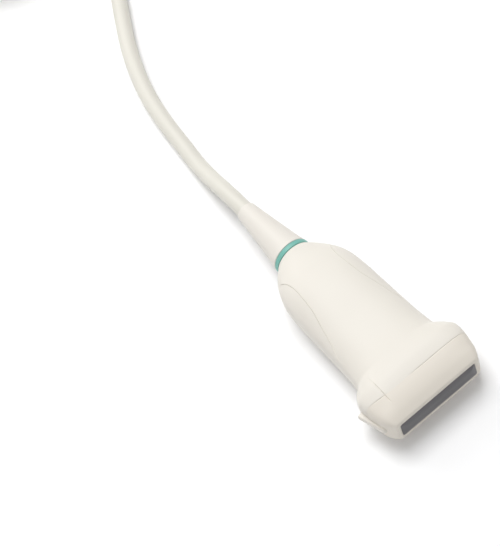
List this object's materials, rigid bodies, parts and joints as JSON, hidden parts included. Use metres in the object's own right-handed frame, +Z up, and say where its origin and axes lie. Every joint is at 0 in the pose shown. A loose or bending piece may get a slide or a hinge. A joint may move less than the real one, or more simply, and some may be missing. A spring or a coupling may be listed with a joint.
{
  "type": "ultrasound transducer probe",
  "caption": "Hand-held linear ultrasound probe: flat wide head with a long acoustic lens, waisted grip, tapered strain relief and a coiled lead ending in a box-shaped plug.",
  "frame": {"origin": "on the surface that the probe lies on, under the middle of the probe's own box from lens to identification ring, the lead left out", "axes": "-Y along the probe's axis out of the lens, +Y along the strain relief and the lead, +Z up through the probe's broad side, +X to the side away from the orientation rib"},
  "size_m": [0.1057, 0.4643, 0.0346],
  "materials": {
    "housing_cream": "satin moulded",
    "boot_cream": "satin",
    "jacket_cream": "satin",
    "ring_teal": "satin",
    "lens_grey": "matte",
    "matching_layer": "ground",
    "piezo_ceramic": "diced ceramic",
    "backing_epoxy": "cast filled resin",
    "flex_polyimide": "film",
    "aluminium": "milled",
    "chassis_plastic": "moulded",
    "board_green": "solder resist",
    "socket_ivory": "moulded",
    "tinned_steel": "tinned",
    "ribbon_blue": "extruded",
    "clamp_grey": "moulded",
    "ferrule_brass": "turned",
    "contact_gold": "plated",
    "plug_cream": "fine moulded texture",
    "tie_grey": "woven hook and loop"
  },
  "bodies": {
    "root": {"handle_upper_shell": "housing_cream", "handle_lower_shell": "housing_cream", "nosepiece": "housing_cream", "orientation_rib": "housing_cream", "strain_relief": "boot_cream", "plug_strain_relief": "boot_cream", "lead_run": "jacket_cream", "lead_coil": "jacket_cream", "lead_tail": "jacket_cream", "identification_ring": "ring_teal", "acoustic_lens": "lens_grey", "matching_layer_outer": "matching_layer", "matching_layer_inner": "matching_layer", "piezo_array": "piezo_ceramic", "backing_block": "backing_epoxy", "signal_flex_upper": "flex_polyimide", "signal_flex_lower": "flex_polyimide", "heat_spreader": "aluminium", "array_carrier": "chassis_plastic", "chassis_frame": "chassis_plastic", "contact_block": "chassis_plastic", "interconnect_board": "board_green", "plug_board": "board_green", "flex_socket_upper": "socket_ivory", "flex_socket_lower": "socket_ivory", "coax_terminal_upper": "socket_ivory", "coax_terminal_lower": "socket_ivory", "shield_can_upper": "tinned_steel", "shield_can_lower": "tinned_steel", "clamp_screw_left": "tinned_steel", "clamp_screw_right": "tinned_steel", "plug_shroud": "tinned_steel", "guide_pin_left": "tinned_steel", "guide_pin_right": "tinned_steel", "plug_screw_rear_left": "tinned_steel", "plug_screw_rear_right": "tinned_steel", "plug_screw_front_left": "tinned_steel", "plug_screw_front_right": "tinned_steel", "coax_ribbon_upper": "ribbon_blue", "coax_ribbon_lower": "ribbon_blue", "cable_clamp_upper": "clamp_grey", "cable_clamp_lower": "clamp_grey", "plug_cable_clamp": "clamp_grey", "braid_ferrule": "ferrule_brass", "contact_comb_upper": "contact_gold", "contact_comb_lower": "contact_gold", "plug_upper_shell": "plug_cream", "plug_lower_shell": "plug_cream", "coil_tie_back": "tie_grey", "coil_tie_front": "tie_grey"}
  },
  "joints": []
}
